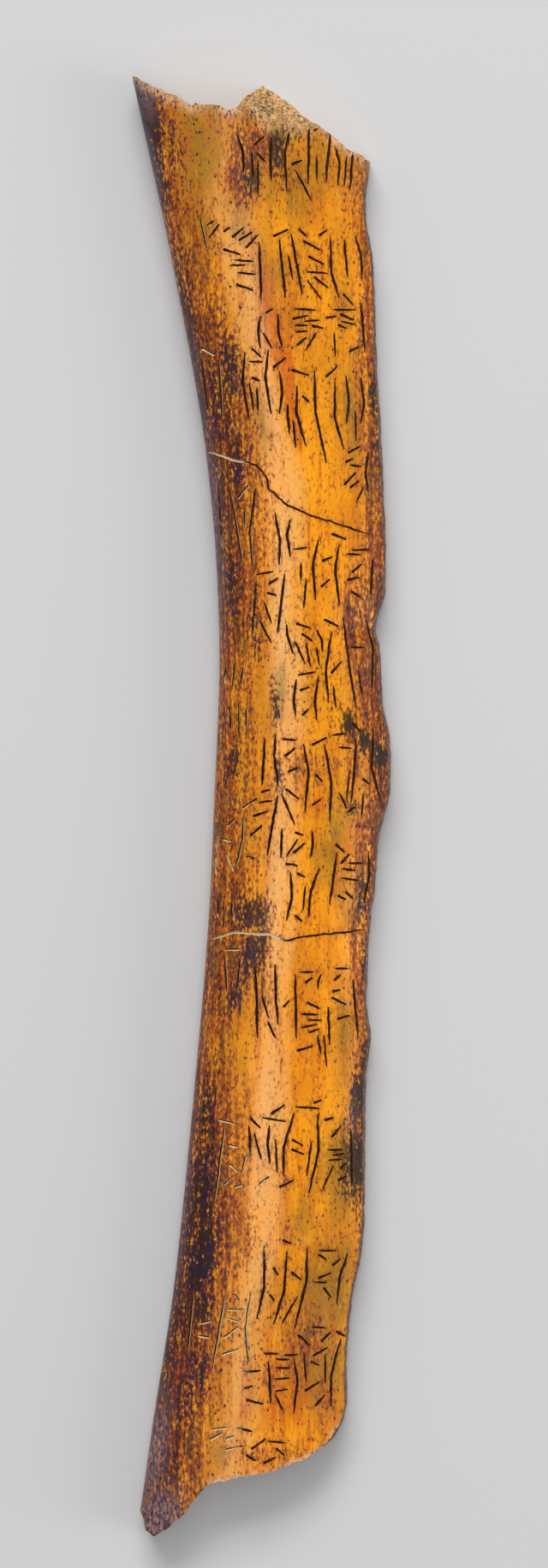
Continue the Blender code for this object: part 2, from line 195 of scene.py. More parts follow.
def row_along(row, share, inscribed):
    """Where the rows of the mesh lie along the strip. Those near the ends follow the breaks."""
    low = straight_through(LOWER_BREAK, share, 1) + END_JAG * bites(share, LOWER_JAG_GRAIN, 1.5)
    high = straight_through(UPPER_BREAK, share, 1) - END_JAG * bites(share, UPPER_JAG_GRAIN, 8.5)
    if inscribed:
        low_bites = bites(share, FACE_JAG_GRAIN, 3.1)
        high_bites = bites(share, FACE_JAG_GRAIN, 6.3)
        low = low + straight_through(LOWER_BREAK, share, 2) * (0.7 + 0.6 * low_bites)
        high = high - straight_through(UPPER_BREAK, share, 2) * (0.7 + 0.6 * high_bites)
    even = LOWER_ROW_ALONG + row * (UPPER_ROW_ALONG - LOWER_ROW_ALONG)
    to_low = ease(1 - (even - LOWER_ROW_ALONG) / BREAK_REACH)
    to_high = ease(1 - (UPPER_ROW_ALONG - even) / BREAK_REACH)
    return even + to_low * (low - LOWER_ROW_ALONG) + to_high * (high - UPPER_ROW_ALONG)


turns = np.linspace(0, math.pi / 2, COLUMNS_TO_CREST + 1)
columns = np.concatenate([
    CREST_ACROSS * (1 - np.cos(turns)),
    np.linspace(CREST_ACROSS, 1.0, COLUMNS_FROM_CREST + 1)[1:],
])
rows = np.linspace(0.0, 1.0, ROWS + 1)
row_grid, share_grid = np.meshgrid(rows, columns, indexing="ij")


def skin(inscribed):
    """The grid of points of the inscribed face or of the back, rows first."""
    along = row_along(row_grid, share_grid, inscribed)
    along = np.where(share_grid == 0.0, row_along(row_grid, share_grid, False), along)
    back, face = heights(along, share_grid)
    x, y = plan_place(along, share_grid)
    bitten = bites(along + (0.3 if inscribed else 0.0), SIDE_JAG_GRAIN, 2.7)
    x = x - SIDE_JAG * bitten * share_grid**8
    if inscribed:
        x = x - SIDE_BREAK_LEAN * ease(share_grid)
    return np.stack([x, y, face if inscribed else back], axis=-1)


def sunk(points, inscribed):
    """The grid pressed in along its normals by waves, wrinkles and dents."""
    across, along = np.gradient(points, axis=1), np.gradient(points, axis=0)
    normals = np.cross(across, along)
    normals /= np.linalg.norm(normals, axis=-1, keepdims=True)
    if not inscribed:
        normals = -normals
    waves = 0.5 + 0.5 * ripple(points, WAVE_GRAIN, 3.0)
    wrinkles = 0.5 + 0.5 * ripple(points, WRINKLE_GRAIN, 9.0)
    dents = np.clip(ripple(points, DENT_GRAIN, 17.0) - 0.25, 0.0, None)
    near_border = ease(1 - share_grid / CREST_ACROSS)
    depth = WAVE_DEPTH * waves + WRINKLE_DEPTH * wrinkles * (0.15 + 0.85 * near_border)
    depth = depth + DENT_DEPTH * dents * (0.4 + near_border)
    depth = depth * ease(share_grid / RELIEF_FADE) * ease((1 - share_grid) / RELIEF_FADE)
    if not inscribed:
        depth = depth * ease((BACK_ROUND_ACROSS - share_grid) / BACK_RELIEF_FADE)
    return points - depth[..., None] * normals


face_grid = sunk(skin(True), True)
back_grid = sunk(skin(False), False)


def add(tree, kind, inputs=None, **settings):
    """A node, with its inputs given as values or as the sockets that feed them."""
    made = tree.nodes.new("ShaderNode" + kind)
    for name, value in settings.items():
        setattr(made, name, value)
    for name, value in (inputs or {}).items():
        if isinstance(value, bpy.types.NodeSocket):
            tree.links.new(value, made.inputs[name])
        else:
            made.inputs[name].default_value = value
    return made


def times(first, second):
    """The product, in the node tree of the first, which is always a socket."""
    return add(first.id_data, "Math", {0: first, 1: second}, operation="MULTIPLY").outputs[0]


def plus(first, second):
    return add(first.id_data, "Math", {0: first, 1: second}, operation="ADD").outputs[0]


def stepped(value, low, high):
    """0 up to low, 1 from high on and smooth between. Low may be the larger one."""
    inputs = {"Value": value, "From Min": low, "From Max": high}
    return add(value.id_data, "MapRange", inputs, interpolation_type="SMOOTHSTEP").outputs[0]


def colour(red, green, blue):
    """A colour given by its screen values, as the linear one that a shader takes."""
    return (*[((c / 255 + 0.055) / 1.055) ** 2.4 for c in (red, green, blue)], 1.0)


def mixed(share, first, second, blend="MIX"):
    inputs = {0: share, 6: first, 7: second}
    return add(share.id_data, "Mix", inputs, data_type="RGBA", blend_type=blend).outputs[2]


def two_tone(grain, low, high, first, second):
    """Two screen colours that follow a grain, the second one where it is past high."""
    return mixed(stepped(grain, low, high), colour(*first), colour(*second))


def layered(shade, layers):
    """The shade under other tones, each given with its mask and its strength, the lowest first."""
    for mask, strength, tone in layers:
        shade = mixed(times(mask, strength), shade, tone)
    return shade


def noted(tree, name):
    """A value kept for each point of the bone, see the section on stains."""
    return add(tree, "Attribute", attribute_name=name).outputs["Fac"]


def new_group(name, inputs, output):
    """An empty node group with number inputs, given with their usual values, and one output."""
    tree = bpy.data.node_groups.new(name, "ShaderNodeTree")
    for label, value in inputs.items():
        socket = tree.interface.new_socket(label, in_out="INPUT", socket_type="NodeSocketFloat")
        socket.default_value = value
    tree.interface.new_socket(output, in_out="OUTPUT", socket_type="NodeSocketFloat")
    given = tree.nodes.new("NodeGroupInput").outputs
    return tree, given, tree.nodes.new("NodeGroupOutput").inputs[output]


def from_group(tree, name, **inputs):
    """What a node group puts out, its inputs given as values or as sockets."""
    named = {label.replace("_", " "): value for label, value in inputs.items()}
    return add(tree, "Group", named, node_tree=bpy.data.node_groups[name]).outputs[0]


def stretched(tree, given):
    """Positions scaled to so many cells to a metre across the strip, along it and down through it."""
    down = times(given["Across"], given["Down"])
    scale = add(tree, "CombineXYZ", {0: given["Across"], 1: given["Along"], 2: down}).outputs[0]
    spot = add(tree, "TexCoord").outputs["Object"]
    spot = add(tree, "VectorMath", {0: spot, 1: scale}, operation="MULTIPLY").outputs[0]
    shift = add(tree, "CombineXYZ", {0: given["Place"], 1: given["Place"]}).outputs[0]
    return add(tree, "VectorMath", {0: spot, 1: shift}, operation="ADD").outputs[0]


# Bone grain: cloudy noise, its clouds so many to a metre each way. Down is a share of Across
tree, given, out = new_group(
    "bone grain",
    {"Across": 1000.0, "Along": 100.0, "Down": 1.0, "Detail": 3.0, "Place": 0.0},
    "Grain",
)
spot = stretched(tree, given)
cloudy = add(tree, "TexNoise", {"Vector": spot, "Scale": 1.0, "Detail": given["Detail"]})
cloudy.inputs["Roughness"].default_value = 0.62
tree.links.new(cloudy.outputs[0], out)

# Speckled stain: a stain whose edge breaks up into the grain
tree, given, out = new_group(
    "speckled stain", {"Stain": 0.0, "Grain": 0.5, "Break Up": 2.0, "Softness": 0.3}, "Mask"
)
uneven = times(plus(given["Grain"], -0.5), given["Break Up"])
low = plus(times(given["Softness"], -1.0), 0.5)
high = plus(given["Softness"], 0.5)
tree.links.new(stepped(plus(given["Stain"], uneven), low, high), out)

# Flecks: scattered spots of dirt or open pores, in a share of the cells
tree, given, out = new_group(
    "flecks",
    {"Across": 900.0, "Along": 600.0, "Down": 1.0, "Place": 0.0, "Share": 0.2, "Size": 0.3},
    "Mask",
)
spot = stretched(tree, given)
cells = add(tree, "TexVoronoi", {"Vector": spot, "Scale": 1.0})
chance = add(tree, "SeparateColor", {0: cells.outputs["Color"]}).outputs
here = add(tree, "Math", {0: chance[0], 1: given["Share"]}, operation="LESS_THAN").outputs[0]
size = times(given["Size"], plus(chance[1], 0.4))
round_spot = stepped(cells.outputs["Distance"], size, times(size, 0.5))
tree.links.new(times(round_spot, here), out)

# The bone's mesh holds every finish, so all are started here and made up in their own sections
finishes = ["polished bone", "broken bone", "knife cut", "crack", "hollow"]
for name in finishes:
    bpy.data.materials.new(name).use_nodes = True


def tree_of(finish):
    """The nodes of a finish, and the inputs of its shader."""
    tree = bpy.data.materials[finish].node_tree
    return tree, tree.nodes["Principled BSDF"].inputs


def grain_of(tree, across, along, **others):
    """Bone grain with so many clouds to a metre across the strip and along it."""
    return from_group(tree, "bone grain", Across=across, Along=along, **others)


def stain_of(name, grain, break_up, softness):
    """The mask of a stain that is kept for each point of the bone, broken up by a grain."""
    tree, chosen = grain.id_data, {"Break_Up": break_up, "Softness": softness}
    return from_group(tree, "speckled stain", Stain=noted(tree, name), Grain=grain, **chosen)


def speckled(name, grain, low, high):
    """A value that is kept for each point of the bone, where the grain is past low."""
    return times(noted(grain.id_data, name), stepped(grain, low, high))


def roughen(shader, relief, distance, strength=1.0):
    """Gives a finish its fine relief."""
    inputs = {"Height": relief, "Strength": strength, "Distance": distance}
    bump = add(relief.id_data, "Bump", inputs)
    relief.id_data.links.new(bump.outputs[0], shader["Normal"])


# Polished bone, from the honey colour of its clean middle to the brown by the border
tree, shader = tree_of("polished bone")
grit = grain_of(tree, 2500.0, 1150.0, Place=23.0)
streak = grain_of(tree, 1150.0, 80.0, Place=11.0)
mottle = grain_of(tree, 210.0, 95.0, Place=3.0)
cloud = grain_of(tree, 75.0, 32.0, Detail=2.0, Place=40.0)
hue = grain_of(tree, 420.0, 150.0, Place=71.0)
scrape = grain_of(tree, 3200.0, 22.0, Detail=2.0, Place=61.0)
grain = plus(times(grit, 0.55), times(streak, 0.45))
spotty = plus(times(grit, 0.80), times(streak, 0.20))
uneven = plus(grain, -0.5)
brown = noted(tree, "brown")

# The brown darkens with the grain, and is greenish or reddish in places
gain = plus(times(brown, 3.3), 1.0)
darkness = plus(times(brown, 0.76), times(uneven, gain))
ramp = add(tree, "ValToRGB", {0: times(darkness, 0.8)})
tones = ramp.color_ramp.elements
tones[0].position, tones[0].color = 0.00, colour(236, 148, 26)
tones[1].position, tones[1].color = 1.00, colour(22, 12, 22)
for place, tone in (
    (0.20, colour(212, 121, 14)), (0.36, colour(174, 90, 12)), (0.52, colour(132, 60, 14)),
    (0.68, colour(88, 36, 18)), (0.84, colour(46, 19, 27)),
):
    tones.new(place).color = tone
veil = stepped(darkness, 0.06, 0.46)
veil_tone = layered(ramp.outputs[0], (
    (stepped(hue, 0.50, 0.66), 0.45, colour(104, 82, 30)),
    (stepped(hue, 0.46, 0.34), 0.35, colour(150, 58, 18)),
))
ink_tone = two_tone(hue, 0.44, 0.56, (30, 14, 40), (44, 16, 12))
ink_tone = mixed(noted(tree, "green"), ink_tone, colour(20, 22, 14))
grey_tone = two_tone(grit, 0.40, 0.60, (156, 124, 118), (78, 56, 78))
rim_tone = two_tone(hue, 0.42, 0.58, (232, 184, 140), (192, 142, 80))
ground_tone = two_tone(grain, 0.38, 0.62, (142, 98, 50), (194, 146, 82))

# Specks of dirt, most where the bone is stained, pale dust on the brown, and pores by the ends
dirt = from_group(tree, "flecks", Across=2000.0, Along=1400.0, Share=0.20, Size=0.42)
dirt = times(dirt, stepped(grit, 0.36, 0.52))
dirty = plus(brown, plus(noted(tree, "olive"), noted(tree, "red")))
many = stepped(plus(cloud, times(dirty, 0.35)), 0.40, 0.62)
dirt = times(dirt, plus(times(many, 0.80), 0.15))
dust = from_group(tree, "flecks", Across=1900.0, Along=1100.0, Place=9.0, Share=0.16, Size=0.36)
dust = times(dust, stepped(brown, 0.20, 0.7))
pores = from_group(tree, "flecks", Across=2300.0, Along=2300.0, Place=14.0, Share=0.60, Size=0.50)
pores = times(noted(tree, "by_end"), pores)

# From the bone's own tones and a painted highlight along the crest up, through the stains, to the dirt
# and the worn rims
shade = two_tone(mottle, 0.36, 0.64, (255, 160, 6), (228, 131, 4))
shade = layered(shade, (
    (stepped(cloud, 0.42, 0.62), 0.60, colour(206, 130, 16)),
    (speckled("clean", grit, 0.72, 0.50), 0.80, colour(255, 165, 14)),
    # A painted highlight: the pale band along the crest
    (speckled("painted_crest_highlight", mottle, 0.22, 0.58), 0.70, colour(255, 186, 96)),
    (stain_of("olive", mottle, 1.4, 0.45), 0.80, colour(150, 110, 22)),
    (stain_of("red", streak, 2.4, 0.45), 0.66, colour(204, 84, 6)),
))
dark_lines = times(stepped(uneven, -0.02, 0.16), 0.60)
shade = mixed(dark_lines, shade, colour(214, 170, 132), "MULTIPLY")
shade = layered(shade, (
    (stepped(uneven, -0.04, -0.19), 0.40, colour(255, 188, 64)),
    (veil, 1.0, veil_tone),
    (stain_of("ink", spotty, 3.4, 0.34), 0.94, ink_tone),
    (stain_of("grey", grit, 2.6, 0.4), 0.84, grey_tone),
    (dirt, 1.0, colour(60, 24, 12)),
    (dust, 0.60, colour(216, 158, 96)),
    (speckled("by_stroke", grit, 0.40, 0.62), 0.65, colour(122, 62, 10)),
    (speckled("by_end", grit, 0.66, 0.48), 0.90, rim_tone),
    (pores, 0.85, colour(44, 28, 26)),
    (speckled("by_side", grit, 0.38, 0.56), 0.60, colour(70, 40, 30)),
    (noted(tree, "ground"), 1.0, ground_tone),
))
tree.links.new(shade, shader["Base Color"])

dull = plus(times(veil, 0.20), times(grit, 0.16))
tree.links.new(plus(dull, 0.15), shader["Roughness"])
shader["Specular IOR Level"].default_value = 0.32
tree.links.new(times(plus(times(veil, -1.0), 1.0), 0.14), shader["Coat Weight"])
shader["Coat Roughness"].default_value = 0.16
relief = times(grit, plus(times(brown, 0.85), 0.13))
relief = plus(relief, times(scrape, 0.16))
relief = plus(relief, times(dirt, -0.3))
roughen(shader, relief, 0.00013)


# The breaks.
# Both ends and the right side are old snaps across the dense outer bone. In the middle of the
# two ends the spongy core shows, open and full of small holes.

BREAK_STEPS = 14
SIDE_BREAK_SWELL = 0.0003
SNAP_ROUGHNESS = 0.00032
SNAP_GRAIN = 0.0019
SNAP_FINE_GRAIN = 0.0007
SNAP_FADE = 0.0006
CORE_SKIN = 0.0017
CORE_FADE = 0.0008
CORE_HOLE = 0.0013
CORE_DEPTH = 0.0010

steps = np.linspace(0.0, 1.0, BREAK_STEPS + 1)


def snapped(face_edge, back_edge, outward, swell, spongy):
    """The rough grid of a break, from an edge of the inscribed face down to one of the back."""
    down = (back_edge - face_edge)[:, None, :]
    points = face_edge[:, None, :] + steps[None, :, None] * down
    thickness = np.linalg.norm(down, axis=2)
    rim = np.minimum(steps, 1 - steps)[None, :] * thickness
    ends = np.minimum(np.arange(len(points)), np.arange(len(points))[::-1])[:, None]
    fade = ease(rim / SNAP_FADE) * ease(ends / 3)
    rough = 0.5 + 0.5 * ripple(points, SNAP_GRAIN, 21.0)
    rough = rough + 0.4 * ripple(points, SNAP_FINE_GRAIN, 31.0)
    depth = SNAP_ROUGHNESS * np.clip(rough, 0.0, None)
    if spongy:
        places = points.reshape(-1, 3) / CORE_HOLE
        near = np.array([noise.voronoi(place)[0][0] for place in places]).reshape(rim.shape)
        core = ease((rim - CORE_SKIN) / CORE_FADE)
        depth = depth + CORE_DEPTH * core * (0.25 + 0.75 * np.clip(1.2 - 1.8 * near, 0.0, 1.0))
    depth = depth - swell * 4 * steps * (1 - steps)
    return points - (depth * fade)[..., None] * np.array(outward)


right_side = snapped(face_grid[:, -1], back_grid[:, -1], (1, 0, 0), SIDE_BREAK_SWELL, False)
grids = (
    (face_grid, "polished bone"),
    (back_grid, "polished bone"),
    (right_side, "broken bone"),
    (snapped(face_grid[0], back_grid[0], (0, -1, 0), 0.0, True), "broken bone"),
    (snapped(face_grid[-1], back_grid[-1], (0, 1, 0), 0.0, True), "broken bone"),
)


def grid_faces(shape):
    """The quads of a grid of points."""
    numbers = np.arange(shape[0] * shape[1]).reshape(shape[:2])
    corners = (numbers[:-1, :-1], numbers[:-1, 1:], numbers[1:, 1:], numbers[1:, :-1])
    return np.stack(corners, axis=-1).reshape(-1, 4).tolist()


def joined(parts):
    """The points and the faces of several parts as those of one."""
    points, faces, count = [], [], 0
    for part_points, part_faces in parts:
        points.append(part_points)
        faces += [[corner + count for corner in face] for face in part_faces]
        count += len(part_points)
    return np.concatenate(points), faces


def in_scene(name, data):
    """An object in the scene that shows a mesh, a light or a camera."""
    made = bpy.data.objects.new(name, data)
    bpy.context.scene.collection.objects.link(made)
    return made


def mesh_object(name, points, faces, materials):
    mesh = bpy.data.meshes.new(name)
    mesh.from_pydata(points, [], faces)
    for material in materials:
        mesh.materials.append(bpy.data.materials[material])
    return in_scene(name, mesh)


def welded(made, distance=1e-7):
    """Joins the edges that meet, and turns every face outwards."""
    bm = bmesh.new()
    bm.from_mesh(made.data)
    bmesh.ops.remove_doubles(bm, verts=bm.verts, dist=distance)
    bmesh.ops.recalc_face_normals(bm, faces=bm.faces)
    bm.to_mesh(made.data)
    bm.free()
    return made


parts = [(points.reshape(-1, 3), grid_faces(points.shape)) for points, _ in grids]
finish_numbers = [finishes.index(finish) for _, finish in grids]
face_counts = [len(faces) for _, faces in parts]
bone = mesh_object("oracle_bone", *joined(parts), finishes)
bone.data.polygons.foreach_set("material_index", np.repeat(finish_numbers, face_counts))
welded(bone)

tree, shader = tree_of("broken bone")
fine = grain_of(tree, 2500.0, 2300.0, Down=0.4, Detail=4.0, Place=5.0)
lumps = grain_of(tree, 560.0, 520.0, Down=0.5, Detail=5.0, Place=6.0)
holes = from_group(tree, "flecks", Across=1700.0, Along=1500.0, Down=0.5, Share=0.45, Size=0.42)
old_tone = two_tone(fine, 0.36, 0.62, (158, 114, 82), (86, 60, 50))
old_lumps = times(stepped(lumps, 0.46, 0.60), 0.6)
old_tone = mixed(old_lumps, old_tone, colour(60, 44, 46))
shade = two_tone(lumps, 0.42, 0.58, (220, 164, 98), (170, 130, 62))
shade = layered(shade, (
    (stepped(fine, 0.50, 0.64), 0.75, colour(104, 70, 34)),
    (stepped(fine, 0.46, 0.35), 0.8, colour(246, 220, 172)),
    (noted(tree, "old_break"), 1.0, old_tone),
    (holes, 0.75, colour(58, 36, 26)),
))
tree.links.new(shade, shader["Base Color"])
shader["Roughness"].default_value = 0.7
roughen(shader, plus(fine, times(holes, -1.0)), 0.00025)


# The hollows in the back.
# Each is a long boat-shaped hollow cut with a chisel, and a round one drilled beside it. A hot
# rod pressed in there scorched the bone and started the crack that was read.

HOLLOW_COUNT = 9
HOLLOW_FIRST_ALONG = 0.125
HOLLOW_LAST_ALONG = 0.885
HOLLOW_ACROSS = 0.62
HOLLOW_SEGMENTS = 40

# Tool marks are this deep, as a share of the hollow, and lie so many to its width, length and depth
TOOL_MARK = 0.035
TOOL_MARKS_TO_HOLLOW = Vector((5.0, 2.2, 5.0))

# Width, length, depth, and how far the hollow stands from the row towards the natural border
CHISELLED = (0.0056, 0.0125, 0.0052, 0.0)
DRILLED = (0.0078, 0.0078, 0.0034, 0.0044)

# The share of LENGTH over which the lean of the strip's lengthwise lines is measured
LEAN_STEP = 0.01


def cut(cutter):
    """Takes the cutter's shape out of the bone, and leaves the cutter's finish on the cut."""
    modifier = bone.modifiers.new("cut", "BOOLEAN")
    modifier.operation = "DIFFERENCE"
    modifier.solver = "MANIFOLD"
    modifier.object = cutter
    bpy.context.view_layer.update()
    graph = bpy.context.evaluated_depsgraph_get()
    result = bpy.data.meshes.new_from_object(bone.evaluated_get(graph))
    bone.modifiers.clear()
    bone.data = result
    bpy.data.objects.remove(cutter)


def lean_at(along, share):
    """How much x a lengthwise line of the strip gains for each metre of y."""
    ahead = plan_place(along + LEAN_STEP, share)[0]
    return (ahead - plan_place(along, share)[0]) / (LEAN_STEP * LENGTH)


hollow_along = np.linspace(HOLLOW_FIRST_ALONG, HOLLOW_LAST_ALONG, HOLLOW_COUNT)
hollow_x, hollow_y = plan_place(hollow_along, HOLLOW_ACROSS)
hollow_back, _ = heights(hollow_along, np.full(HOLLOW_COUNT, HOLLOW_ACROSS))
hollow_turn = np.arctan(lean_at(hollow_along, HOLLOW_ACROSS))

for width, length, depth, offset in (CHISELLED, DRILLED):
    bm = bmesh.new()
    for i in range(HOLLOW_COUNT):
        ball = bmesh.ops.create_uvsphere(
            bm, u_segments=HOLLOW_SEGMENTS, v_segments=HOLLOW_SEGMENTS // 2, radius=0.5
        )["verts"]
        for vertex in ball:
            mark = noise.noise(vertex.co * TOOL_MARKS_TO_HOLLOW + Vector((i, offset, 0.0)))
            vertex.co *= 1 - TOOL_MARK * (1 + mark)
        placed = Matrix.Translation((hollow_x[i] - offset, hollow_y[i], hollow_back[i]))
        placed @= Matrix.Rotation(-hollow_turn[i], 4, "Z")
        placed @= Matrix.Diagonal((width, length, 2 * depth, 1.0))
        bmesh.ops.transform(bm, matrix=placed, verts=ball)
    mesh = bpy.data.meshes.new("hollows")
    bm.to_mesh(mesh)
    bm.free()
    mesh.materials.append(bpy.data.materials["hollow"])
    cut(in_scene("hollows", mesh))

tree, shader = tree_of("hollow")
fine = grain_of(tree, 1300.0, 1300.0, Place=8.0)
chips = grain_of(tree, 700.0, 700.0, Detail=2.0, Place=17.0)
shade = two_tone(fine, 0.38, 0.62, (150, 106, 62), (84, 52, 32))
scorch = times(stain_of("scorch", fine, 1.6, 0.4), 0.9)
shade = mixed(scorch, shade, colour(34, 22, 18))
tree.links.new(shade, shader["Base Color"])
shader["Roughness"].default_value = 0.7
roughen(shader, chips, 0.0004, 0.6)


# The inscription.
# Four columns of made-up signs run down the face. Each stroke is one pull of a knife point: a
# V-shaped cut, deepest in its middle, that was rubbed with ink. None touches another.

STROKE_WIDTH = 0.00055
STROKE_GAP = 0.00035
UPRIGHT_SPACING = 0.0040
DASH_SPACING = 0.0030
DASH_LENGTH = 0.0021
DASH_TRIES = 6
SIGN_SEED = 7

# Lighter strokes between, too fine for the solid: level, slanted and upright ones. The lengths
# are ranges to draw from, and the leans, in degrees, are choices
LIGHT_WIDTH = 0.00034
LIGHT_GAP = 0.00024
LIGHT_TRIES = 44
LIGHT_SEED = 11
LEVEL_SHARE = 0.6
LEVEL_LENGTHS = (0.0018, 0.0038)
TALL_LENGTHS = (0.0026, 0.0056)
TALL_LEANS = (-26, 0, 26)

# Cutting bars have rings a step apart, stray from their line by up to a wobble and rise a little
# out of the face. Depth is a share of a cut's half width, unevenness one of its width, and the tip
# one of a step
CUT_DEPTH = 1.05
CUT_STEP = 0.0006
CUT_UNEVENNESS = 0.30
CUT_TIP = 0.3
CUTTER_RISE = 0.0002
STROKE_WOBBLE = 0.00008
LIGHT_WOBBLE = 0.00006
SLOPE_STEP = 0.0004

# along, share of the strip's own width, height (share of LENGTH), width (share of MIDDLE_WIDTH)
SIGNS = (
    # by the rounded border
    (0.786, 0.090, 0.053, 0.09), (0.694, 0.085, 0.062, 0.09), (0.694, 0.190, 0.060, 0.09),
    (0.590, 0.090, 0.013, 0.10), (0.562, 0.120, 0.018, 0.10), (0.538, 0.095, 0.013, 0.05),
    (0.475, 0.095, 0.039, 0.14), (0.431, 0.100, 0.018, 0.09), (0.386, 0.170, 0.036, 0.08),
    # inner column
    (0.940, 0.477, 0.035, 0.18), (0.892, 0.237, 0.010, 0.15), (0.865, 0.370, 0.055, 0.14),
    (0.824, 0.440, 0.027, 0.12), (0.787, 0.340, 0.049, 0.14), (0.784, 0.450, 0.037, 0.06),
    (0.681, 0.400, 0.040, 0.08), (0.637, 0.302, 0.046, 0.16), (0.533, 0.309, 0.036, 0.08),
    (0.485, 0.276, 0.055, 0.15), (0.369, 0.446, 0.050, 0.24), (0.274, 0.400, 0.030, 0.12),
    (0.260, 0.266, 0.060, 0.18), (0.146, 0.283, 0.051, 0.36), (0.070, 0.388, 0.019, 0.20),
    # middle column
    (0.943, 0.715, 0.050, 0.24), (0.869, 0.576, 0.048, 0.09), (0.867, 0.726, 0.051, 0.18),
    (0.824, 0.690, 0.029, 0.28), (0.766, 0.661, 0.064, 0.23), (0.762, 0.523, 0.027, 0.09),
    (0.659, 0.587, 0.052, 0.27), (0.613, 0.533, 0.025, 0.18), (0.573, 0.534, 0.038, 0.13),
    (0.520, 0.505, 0.057, 0.28), (0.477, 0.503, 0.021, 0.18), (0.441, 0.551, 0.046, 0.15),
    (0.382, 0.638, 0.016, 0.13), (0.350, 0.662, 0.037, 0.19), (0.268, 0.563, 0.071, 0.30),
    (0.177, 0.585, 0.061, 0.25), (0.109, 0.584, 0.043, 0.30), (0.064, 0.607, 0.020, 0.20),
    # by the broken side
    (0.935, 0.880, 0.034, 0.09), (0.875, 0.893, 0.032, 0.08), (0.828, 0.876, 0.045, 0.12),
    (0.775, 0.852, 0.038, 0.09), (0.729, 0.857, 0.040, 0.11), (0.656, 0.814, 0.040, 0.20),
    (0.599, 0.798, 0.061, 0.24), (0.523, 0.784, 0.070, 0.28), (0.453, 0.834, 0.043, 0.20),
    (0.365, 0.826, 0.053, 0.20), (0.265, 0.824, 0.049, 0.20), (0.180, 0.817, 0.040, 0.22),
    (0.118, 0.840, 0.061, 0.22),
)

# Points on each crack: along, share of the strip's own width
CRACKS = (
    (
        (0.7430, 0.020), (0.7370, 0.140), (0.7330, 0.280), (0.7245, 0.325), (0.7170, 0.335),
        (0.7058, 0.430), (0.6990, 0.556), (0.6920, 0.750), (0.6865, 0.895),
    ),
    (
        (0.4110, 0.035), (0.4160, 0.168), (0.4150, 0.300), (0.4140, 0.405), (0.4100, 0.484),
        (0.4127, 0.563), (0.4150, 0.770), (0.4174, 0.970),
    ),
)


def upright(draw, x, height):
    """A long stroke down a sign, leaning a little and sometimes bent, about the sign's own middle."""
    top = height * draw.uniform(0.32, 0.5)
    bottom = -height * draw.uniform(0.25, 0.5)
    lean = height * draw.uniform(-0.05, 0.05)
    bend = height * draw.choice((0.0, 0.0, -0.05, 0.05))
    turn = (top + bottom) / 2 + height * draw.uniform(-0.1, 0.1)
    return [(x - lean, bottom), (x + bend, turn), (x + lean, top)]


def straight(x, y, length, degrees):
    """A straight stroke about a point, turned from level."""
    dx = length / 2 * math.cos(math.radians(degrees))
    dy = length / 2 * math.sin(math.radians(degrees))
    return [(x - dx, y - dy), (x + dx, y + dy)]


def dash(draw, height, width):
    """A short slanted stroke somewhere in a sign."""
    x, y = width * draw.uniform(-0.6, 0.6), height * draw.uniform(-0.35, 0.5)
    length = DASH_LENGTH * draw.uniform(0.6, 1.3)
    return straight(x, y, length, draw.choice((-1, 1)) * draw.uniform(10, 50))


def light_stroke(draw, height, width):
    """A light stroke somewhere in a sign: a nearly level one or, lower down, a tall one."""
    if draw.random() < LEVEL_SHARE:
        degrees, length = draw.gauss(0, 7), draw.uniform(*LEVEL_LENGTHS)
        y = height * draw.uniform(-0.10, 0.50)
    else:
        degrees = 90 + draw.choice(TALL_LEANS) + draw.gauss(0, 4)
        length = draw.uniform(*TALL_LENGTHS)
        y = height * draw.uniform(-0.40, 0.10)
    return straight(width * draw.uniform(-0.45, 0.45), y, length, degrees)


def sign_tries(draw, height, width):
    """For each stroke of one made-up sign, the shapes to try until one has room."""
    uprights = 1 + round(width / UPRIGHT_SPACING) if height > width else 0
    for i in range(uprights):
        yield [upright(draw, width * (i / (uprights - 1) - 0.5) if uprights > 1 else 0.0, height)]
    for _ in range(2 + round(height / DASH_SPACING)):
        yield [dash(draw, height, width) for _ in range(DASH_TRIES)]


def sampled(stroke):
    """Points close together along a stroke, for measuring how near another one comes."""
    found = []
    for (x1, y1), (x2, y2) in zip(stroke, stroke[1:]):
        count = max(1, math.ceil(math.hypot(x2 - x1, y2 - y1) / STROKE_GAP))
        found += [(x1 + (x2 - x1) * k / count, y1 + (y2 - y1) * k / count) for k in range(count + 1)]
    return np.array(found)


def stands_clear(stroke, others, gap):
    """True if no point of the stroke comes nearer than the gap to a stroke in the list."""
    for other in others:
        apart = stroke[:, None, :] - other[None, :, :]
        if (apart**2).sum(axis=2).min() < gap**2:
            return False
    return True


def short_of_break(plan):
    """True for each plan point that lies on the face, short of the upper break."""
    along = plan[:, 1] / LENGTH + 0.5
    border, broken = edges_at(along)
    return along < row_along(1.0, (plan[:, 0] - border) / (broken - border), True)


def set_in(place, shape):
    """A stroke given about its sign's own middle, moved to the sign's place and lean."""
    middle_x, middle_y, lean = place
    return [(middle_x + x + lean * y, middle_y + y) for x, y in shape]


crack_lines = [[plan_place(*place) for place in crack] for crack in CRACKS]
sign_places = [(*plan_place(*sign[:2]), lean_at(*sign[:2])) for sign in SIGNS]
sign_sizes = [(height * LENGTH, width * MIDDLE_WIDTH) for _, _, height, width in SIGNS]

draw = random.Random(SIGN_SEED)
taken = [sampled(line) for line in crack_lines]
strokes = []
for place, size in zip(sign_places, sign_sizes):
    for shapes in sign_tries(draw, *size):
        for shape in shapes:
            stroke = set_in(place, shape)
            points = sampled(stroke)
            if stands_clear(points, taken, STROKE_WIDTH + STROKE_GAP):
                taken.append(points)
                strokes.append(stroke)
                break

